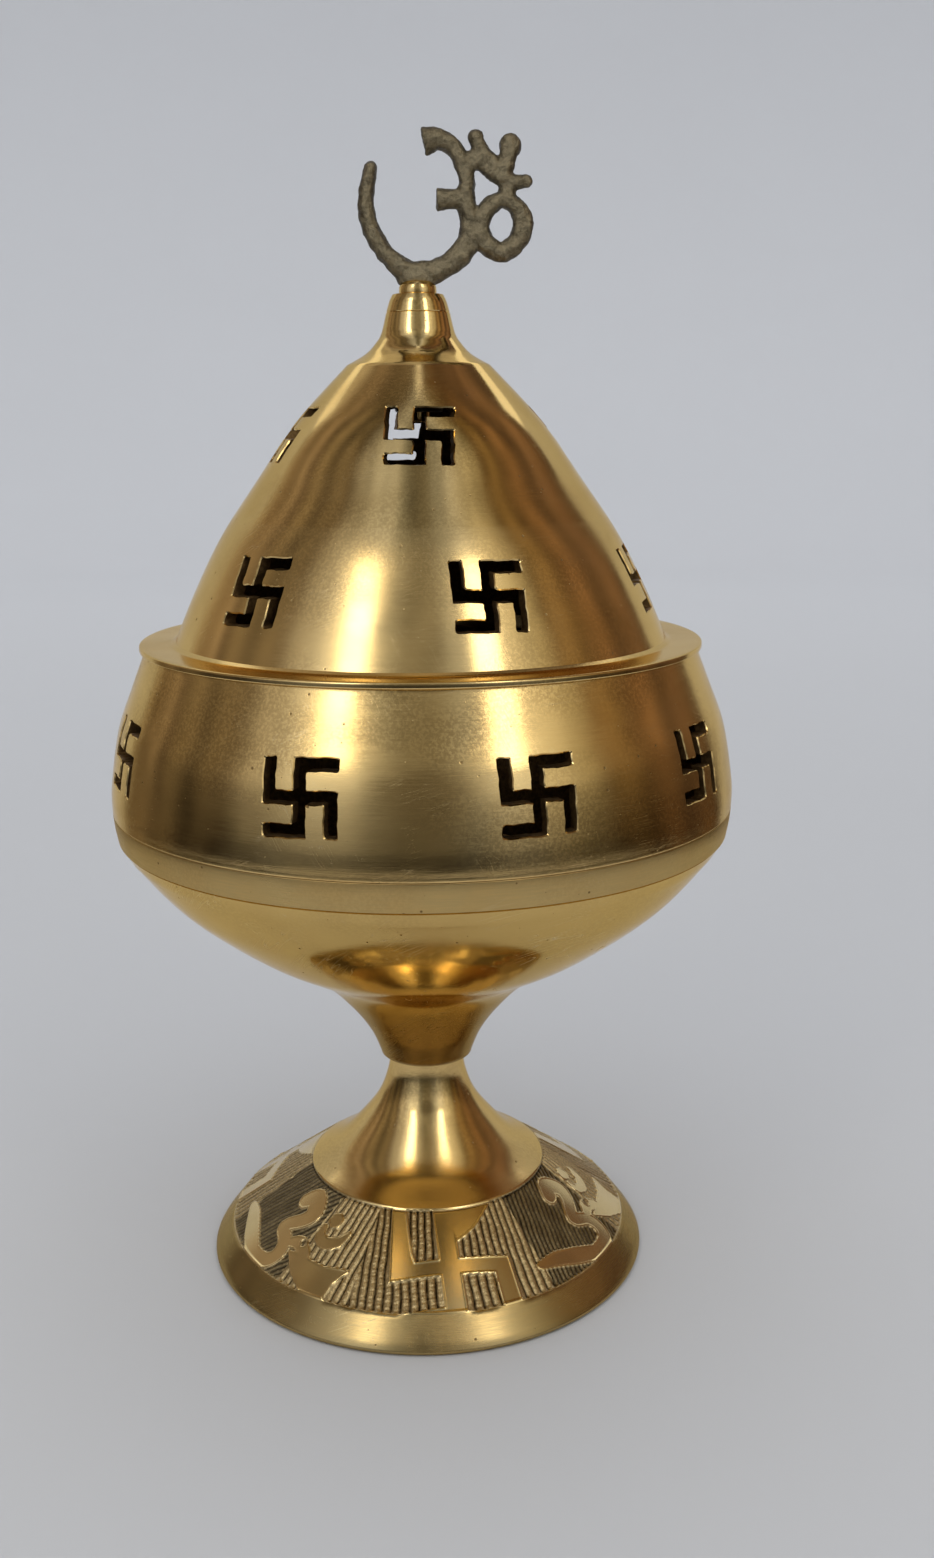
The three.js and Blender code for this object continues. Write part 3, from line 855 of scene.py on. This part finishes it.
def make_om(material):
    parts = [
        stroke_bar([(-6.5, 165.9), (-6.95, 163.6), (-7.15, 160.5), (-6.3, 157.3), (-4.4, 154.5),
                    (-1.9, 152.5), (0.9, 151.8), (3.8, 152.7), (6.1, 154.4), (7.5, 156.5), (7.7, 158.8),
                    (7.0, 161.2), (7.0, 163.6)],
                   [1.8, 2.2, 2.5, 2.5, 2.6, 3.0, 3.5, 3.2, 3.3, 3.4, 3.2, 2.8, 2.5], steps=70),
        stroke_bar([(1.0, 169.5), (3.3, 169.8), (5.2, 168.7), (6.6, 166.5), (7.1, 164.0), (6.8, 161.4)],
                   [4.0, 2.9, 2.4, 2.5, 2.4, 2.6]),
        stroke_bar([(2.8, 161.9), (4.4, 161.9), (7.0, 161.9)], [3.3, 2.7, 2.9], steps=12),
        stroke_bar([(8.4, 170.0), (9.0, 168.4), (10.1, 166.7), (11.6, 165.4), (13.1, 164.3),
                    (15.2, 164.2)],
                   [1.9, 2.3, 3.4, 3.2, 2.6, 1.5], 0.94),
        stroke_bar([(13.2, 168.9), (12.8, 167.0), (12.2, 165.6)], [2.8, 2.4, 2.8], 0.94, steps=12),
        stroke_bar([(12.9, 164.6), (12.8, 163.2), (12.6, 162.0)], [2.5, 2.6, 2.7], 0.9, steps=12),
        stroke_bar([(6.6, 166.6), (8.1, 167.1), (9.7, 166.9)], [2.6, 2.9, 2.9], 0.9, steps=12),
        stroke_bar([(12.1, 162.0), (9.9, 160.5), (8.9, 158.3), (9.8, 155.9), (12.0, 154.7), (14.2, 156.1),
                    (15.2, 158.5), (14.2, 160.8)],
                   [2.2, 2.6, 3.0, 2.9, 2.8, 2.9, 3.0, 2.6, 2.2], closed=True, steps=56),
        knob(8.35, 170.1, 1.1, 0.9),
        knob(13.25, 168.95, 1.65, 0.95),
        knob(15.5, 164.3, 0.95, 0.85),
        knob(-6.45, 166.0, 0.95, 0.85),
        stroke_bar([(0.1, 150.3), (0.1, 151.0), (0.2, 152.2)], [5.2, 6.6, 9.6], steps=10),
    ]
    piece = make_object("om_cast", *joined(parts))
    edit_mesh(piece.data, triangulate)
    fuse = piece.modifiers.new("fuse", "REMESH")
    fuse.mode = "VOXEL"
    fuse.voxel_size = 0.16 * MM
    soften = piece.modifiers.new("soften", "SMOOTH")
    soften.factor = 0.5
    soften.iterations = 9
    settle(piece)
    roughen(piece, 0.2, 0.75, 0.07, 3.1)
    shade(piece.data, 80)
    return dress(piece, [material])


def roughen(piece, depth, scale, grit, fine_scale):
    """Uneven sand-cast skin, moved along the normals."""
    mesh = piece.data
    count = len(mesh.vertices)
    place = np.zeros(count * 3)
    mesh.vertices.foreach_get("co", place)
    place = place.reshape(-1, 3)
    normals = np.array([v.normal for v in mesh.vertices])
    points = [Vector(p) / MM for p in place]
    lift = [depth * noise.noise(p * scale) + grit * noise.noise(p * fine_scale) for p in points]
    mesh.vertices.foreach_set("co", (place + normals * np.array(lift)[:, None] * MM).ravel())
    mesh.update()


def make_finial_boss(material):
    bottom = NECK_TOP_Z + SHUT
    outline = [(0, STUD_END_Z), (1.5, STUD_END_Z, 0.2), (1.7, STUD_END_Z + 0.4), (1.7, bottom),
               (2.7, bottom, 0.05), (2.68, 149.9, 0.3), (2.55, 150.35, 0.4), (2.0, 150.8, 0.3),
               (0, 150.9)]
    return dress(turned("finial_boss", outline, 96, 0.5), [material])


# ---- fasteners

def threaded(name, radius, bottom, top, extra, material, pitch=0.8):
    """Bolt or stud whose thread is turned as rings, with extra outline points above it."""
    outline = [(0, bottom), (radius - 0.5, bottom), (radius - 0.1, bottom + 0.4)]
    z = bottom + 0.4
    while z + pitch < top:
        outline += [(radius, z + pitch * 0.5), (radius - 0.35, z + pitch)]
        z += pitch
    return dress(turned(name, outline + extra, 64, 1.0, 40), [material])


def make_nut(name, node, bore, material):
    """Hexagon nut with chamfered corners."""
    low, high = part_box(node)
    bottom, top = low.z / MM, high.z / MM
    flat = min(high.x - low.x, high.y - low.y) / MM / 2
    sides = 120
    a = np.arange(sides) / sides * 2 * pi
    hexagon = flat / np.cos((a % (pi / 3)) - pi / 6)
    height = top - bottom
    rows = []
    for t in (0.0, 0.06, 0.14, 0.5, 0.86, 0.94, 1.0):
        cone = flat * 0.97 + flat * 1.6 * min(t, 1 - t)
        rows.append((sides, np.minimum(hexagon, cone), bottom + t * height))
    rows += [(sides, bore + 0.35, top), (sides, bore, top - 0.35), (sides, bore, bottom + 0.35),
             (sides, bore + 0.35, bottom)]
    return dress(make_object(name, *loft(rows), 35), [material])


def make_washer(name, node, bore, material):
    low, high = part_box(node)
    outer, bottom, top = high.x / MM, low.z / MM, high.z / MM
    outline = [(bore, bottom), (outer, bottom, 0.25), (outer, top, 0.25), (bore, top)]
    return dress(turned(name, outline, 96), [material])


# ---- stage

def stage_mesh(name, vertices, faces, material):
    """Part of the stage, its vertices in metres."""
    mesh = bpy.data.meshes.new(name)
    mesh.from_pydata(vertices, [], faces)
    mesh.materials.append(material)
    return add_object(name, mesh)


def pale_paper():
    """Faintly mottled paper, with painted shade making it a little darker round the burner."""
    f = Finish("pale_paper")
    mottled = tuple(c * 0.96 for c in PAPER[:3]) + (1,)
    away = f.node("VectorMath", {0: f.place}, operation="LENGTH").outputs["Value"]
    tone = f.mix(f.cloud(0.004, 3.0), PAPER, mottled)
    # painted shade: the paper darkens towards the burner
    tone = f.mix(f.spread(away, 150, 1100, 0.16, 0.0), tone, BLACK)
    return f.surface(tone, 0.6, metallic=0.0)


def make_sweep():
    """Pale table that curves up into a pale round wall."""
    reach, curve, top, sides = 1.7, 0.6, 1.25, 128
    rows = [(0, 0), (0.5, 0), (reach - curve, 0)]
    rows += [(reach - curve + curve * sin(a), curve - curve * cos(a))
             for a in np.arange(1, 25) / 24 * pi / 2]
    rows.append((reach, top))
    vertices, faces = loft([(sides, r, z) for r, z in rows])
    sweep = stage_mesh("sweep", vertices.tolist(), faces, pale_paper())
    sweep.data.shade_smooth()


def reflected_only(piece):
    piece.visible_camera = False
    piece.visible_diffuse = False
    piece.visible_shadow = False


# Colour of the dim room by azimuth, and how much of it is left by elevation, degrees
ROOM_AROUND = [
    (-180, (0.6, 0.58, 0.54)), (-130, (0.42, 0.39, 0.36)), (-122, (0.24, 0.19, 0.15)),
    (-112, (0.34, 0.28, 0.23)), (-107, (0.14, 0.11, 0.09)), (-99, (0.3, 0.25, 0.19)),
    (-90, (0.12, 0.1, 0.08)), (-80, (0.26, 0.22, 0.17)), (-74, (0.17, 0.14, 0.11)),
    (-60, (0.56, 0.56, 0.58)), (-44, (0.85, 0.9, 1.0)), (-28, (0.95, 1.0, 1.1)),
    (-19, (0.4, 0.42, 0.43)), (-6, (0.27, 0.26, 0.23)), (6, (0.28, 0.27, 0.24)),
    (18, (0.52, 0.55, 0.6)), (32, (1.0, 1.05, 1.15)), (48, (0.78, 0.76, 0.68)),
    (62, (0.46, 0.42, 0.32)), (69, (0.2, 0.14, 0.08)), (78, (0.36, 0.25, 0.13)),
    (84, (0.15, 0.1, 0.06)), (96, (0.28, 0.17, 0.1)), (104, (0.12, 0.08, 0.06)),
    (118, (0.22, 0.14, 0.1)), (130, (0.1, 0.07, 0.06)), (180, (0.6, 0.58, 0.54))
]
ROOM_UPWARDS = [(-25, 1.0), (-18.5, 0.12), (-5, 0.17), (1, 0.45), (14, 1.0), (50, 0.95), (66, 0.55),
                (90, 0.5)]
ROOM_MIDDLE = 0.08         # height that the room's elevations are measured from, m


def make_room_card():
    """Dim room in front of the burner and its ceiling, which only reflections see."""
    radius, columns, front_limit, ceiling_from, floor = 0.9, 144, 130, 40, 0.0006
    rows = [(0.23, floor), (0.45, floor), (radius, floor)]
    rows += [(radius * cos(radians(e)), ROOM_MIDDLE + radius * sin(radians(e)))
             for e in range(-4, 89, 4)]
    vertices = np.concatenate([ring_points(r, z, columns) for r, z in rows])
    faces = []
    for k in range(len(rows) - 1):
        upwards = degrees(atan2(rows[k][1] - ROOM_MIDDLE, rows[k][0]))
        for i, face in enumerate(stitch(k * columns, columns, (k + 1) * columns, columns)):
            around = (i + 0.5) * 360 / columns
            if upwards > ceiling_from or min(around, 360 - around) < front_limit:
                faces.append(face)
    reflected_only(stage_mesh("room_card", vertices.tolist(), faces, room_glow()))


def room_glow():
    f = Finish("dim_room")
    x, y, z = f.xyz()
    around = f.math("ARCTAN2", x, f.times(y, -1.0))
    upwards = f.math("ARCTAN2", f.minus(z, ROOM_MIDDLE / MM), f.length(x, y))
    tones = ramp(f, around, ROOM_AROUND)
    lift = ramp(f, upwards, [(e, (v, v, v)) for e, v in ROOM_UPWARDS])
    beside = f.spread(f.math("ABSOLUTE", around), radians(70), radians(115), 0.0, 0.5)
    lift = f.plus(lift, f.times(beside, f.minus(1.0, lift)))
    clutter = f.cloud((0.009, 0.009, 0.0035), 3.0, 0.6, 0.4)
    strength = f.times(lift, f.spread(clutter, 0.3, 0.7, 0.72, 1.25))
    return f.finished(f.node("Emission", {"Color": tones, "Strength": strength}))


def ramp(f, angle, stops):
    """Colours that follow an angle through stops given in degrees."""
    low, high = stops[0][0], stops[-1][0]
    level = f.node("MapRange", {"Value": angle, "From Min": radians(low),
                                "From Max": radians(high)}).outputs[0]
    made = f.node("ValToRGB", {"Fac": level})
    made.color_ramp.interpolation = "EASE"
    elements = made.color_ramp.elements
    for at, colour in stops[1:-1]:
        elements.new((at - low) / (high - low)).color = (*colour, 1)
    for end, position, (_, colour) in ((0, 0, stops[0]), (len(stops) - 1, 1, stops[-1])):
        elements[end].position, elements[end].color = position, (*colour, 1)
    return made.outputs["Color"]


def make_camera_shade():
    """Soft dark shape behind the camera, seen only in the polished metal."""
    middle, half_width, half_height, back = 0.145, 0.105, 0.075, -0.25
    corners = [(x * half_width, back, middle + z * half_height)
               for x, z in ((-1, -1), (1, -1), (1, 1), (-1, 1))]
    f = Finish("dim_shape")
    x, _, z = f.xyz()
    away = f.length(f.math("DIVIDE", x, half_width / MM),
                    f.math("DIVIDE", f.minus(z, middle / MM), half_height / MM))
    clear = f.node("BsdfTransparent").outputs[0]
    dim = f.node("Emission", {"Color": DIM_SHAPE, "Strength": 1.0}).outputs[0]
    cover = f.spread(away, 0.35, 1.0, 0.8, 0.0)
    material = f.finished(f.node("MixShader", {0: cover, 1: clear, 2: dim}))
    reflected_only(stage_mesh("camera_shade", corners, [(0, 1, 2, 3)], material))


def window(name, azimuth, width, power, colour):
    """Tall soft lamp that faces the burner."""
    elevation, distance, height = 37, 0.7, 0.34
    data = bpy.data.lights.new(name, "AREA")
    data.shape = "RECTANGLE"
    data.size, data.size_y = width, height
    data.energy = power
    data.color = colour
    lamp = add_object(name, data)
    a, e = radians(azimuth), radians(elevation)
    away = Vector((sin(a) * cos(e), -cos(a) * cos(e), sin(e)))
    lamp.location = Vector((0, 0, 0.09)) + away * distance
    lamp.rotation_euler = away.to_track_quat("Z", "Y").to_euler()
    lamp.visible_camera = False


def light_stage():
    world = bpy.data.worlds.new("pale_room")
    world.use_nodes = True
    background = world.node_tree.nodes["Background"].inputs
    background["Color"].default_value = WORLD_PALE
    background["Strength"].default_value = 1.45
    scene.world = world
    window("window_left", -34, 0.13, 0.49, (1.0, 0.94, 0.8))
    window("window_right", 32, 0.12, 0.41, (1.0, 0.95, 0.84))


def make_camera():
    """Pinhole camera at the viewpoint of the burner's portrait."""
    data = bpy.data.cameras.new("viewpoint")
    data.sensor_width = 36
    data.lens = 34.66
    data.clip_start = 0.01
    camera = add_object("viewpoint", data)
    eye = Vector((0, -0.2259, 0.13144))
    yaw, pitch, roll = radians(1.71), radians(13.46), radians(-0.27)
    forward = Vector((sin(yaw) * cos(pitch), cos(yaw) * cos(pitch), -sin(pitch)))
    right = Vector((cos(yaw), -sin(yaw), 0))
    up = right.cross(forward)
    right, up = right * cos(roll) + up * sin(roll), up * cos(roll) - right * sin(roll)
    turn = Matrix((right, up, -forward)).transposed().to_4x4()
    camera.matrix_world = Matrix.Translation(eye) @ turn
    scene.camera = camera


# ---- assembly

def place(piece, body, slot, *nodes):
    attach(piece, body)
    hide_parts(*nodes)


def build():
    dome = turned_brass("brass_dome", -0.6, 0.085, lines=0.7, wear=0.5, grain=0.7, satin=117.7)
    wall = turned_brass("brass_gallery", -0.3, 0.125, lines=1.2, wear=0.7, grain=1.0)
    # painted shade darkens the belly's lower neck, below 40 to 50 mm
    belly = turned_brass("brass_belly", 0.6, 0.09, 0.6, 1.6, colour=BELLY_YELLOW, painted_shade_heights=(40, 50))
    satin = turned_brass("brass_band", 0.3, 0.27, 1.8, 0.5, anisotropy=0.6, colour=BAND_OLIVE)
    trumpet = turned_brass("brass_trumpet", -0.9, 0.135, lines=0.9, wear=0.3)
    rim = turned_brass("brass_rim", -0.5, 0.21, 1.0, 0.5, anisotropy=0.5, colour=RIM_OLIVE)
    boss = turned_brass("brass_boss", 0.0, 0.13, lines=0.4, wear=0.3)
    tin = turned_brass("brass_cup", 0.8, 0.28, lines=1.2, wear=1.0)
    dull = dull_brass("brass_inside", 0.45)
    sooty = dull_brass("brass_sooted", 0.85)
    band = chiselled_brass("brass_chiselled")
    cast = cast_brass("brass_cast")
    steel = plated_steel("steel_plated")

    place(make_foot(trumpet, dull, band, rim), "base", "foot_brass", "foot")
    place(make_bowl(belly, dull, satin), "base", "polished_brass", "bowl")
    place(make_gallery(wall, dull), "base", "polished_brass", "gallery")
    head = BOWL_FLOOR_Z + SEAM
    bolt = threaded("tie_bolt_m5", 2.3, BOLT_END_Z, 30, [(2.3, 31), (2.3, head), (4.5, head, 0.2),
                    (4.3, head + 1.2, 0.5), (2.8, head + 2.3, 0.8), (0, BOLT_TOP_Z)], steel)
    place(bolt, "base", "steel", "tie_bolt")
    washer = make_washer("foot_washer_ring", "foot_washer", BOLT_BORE, steel)
    place(washer, "base", "steel", "foot_washer")
    place(make_nut("foot_nut_m5", "foot_nut", BOLT_BORE, steel), "base", "steel", "foot_nut")
    place(make_cup(tin, sooty), "cup", "cup_brass", "charcoal_cup")
    place(make_lid(dome, dull), "lid", "polished_brass", "lid")
    place(make_om(cast), "lid", "aged_brass", "om_finial")
    place(make_finial_boss(boss), "lid", "polished_brass", "om_finial")
    washer = make_washer("finial_washer_ring", "finial_washer", STUD_BORE, steel)
    place(washer, "lid", "steel", "finial_washer")
    place(make_nut("finial_nut_m3_5", "finial_nut", STUD_BORE, steel), "lid", "steel", "finial_nut")


make_camera()
light_stage()
make_sweep()
make_room_card()
make_camera_shade()
build()

scene.view_settings.view_transform = "Standard"
